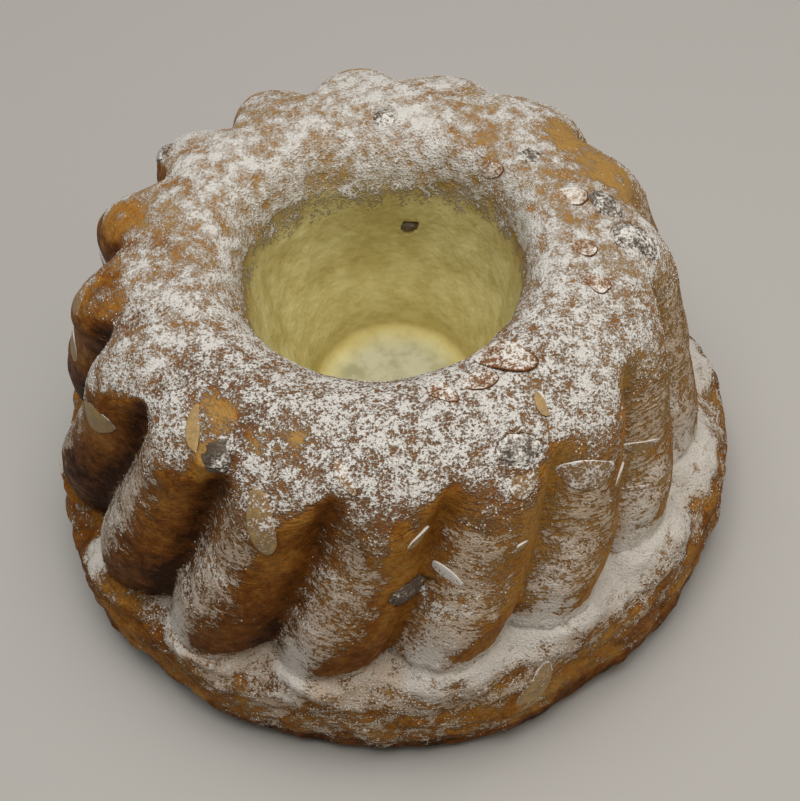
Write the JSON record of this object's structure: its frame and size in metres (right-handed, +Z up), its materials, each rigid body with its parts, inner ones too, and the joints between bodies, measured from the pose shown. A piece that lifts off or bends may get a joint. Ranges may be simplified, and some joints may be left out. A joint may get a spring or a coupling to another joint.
{
  "type": "kugelhopf",
  "caption": "Tall ring cake with twisted rounded ribs, a wide blind well in its crown, a thick foot of risen dough, almond flakes in the crust and raisins set into it.",
  "frame": {"origin": "centre of the flat base, on the axis of the ribs", "axes": "+Z up through the well, -Y towards the side that the picture shows"},
  "size_m": [0.1914, 0.1822, 0.1061],
  "materials": {
    "crust": "baked crust, matt to satin, dusted with icing sugar",
    "raisin": "wrinkled dried fruit, satin, dusted with icing sugar"
  },
  "bodies": {
    "root": {"cake": "crust", "raisin_01": "raisin", "raisin_02": "raisin", "raisin_03": "raisin", "raisin_04": "raisin", "raisin_05": "raisin", "raisin_06": "raisin", "raisin_07": "raisin", "raisin_08": "raisin", "raisin_09": "raisin", "raisin_10": "raisin", "raisin_11": "raisin", "raisin_12": "raisin"}
  },
  "joints": []
}
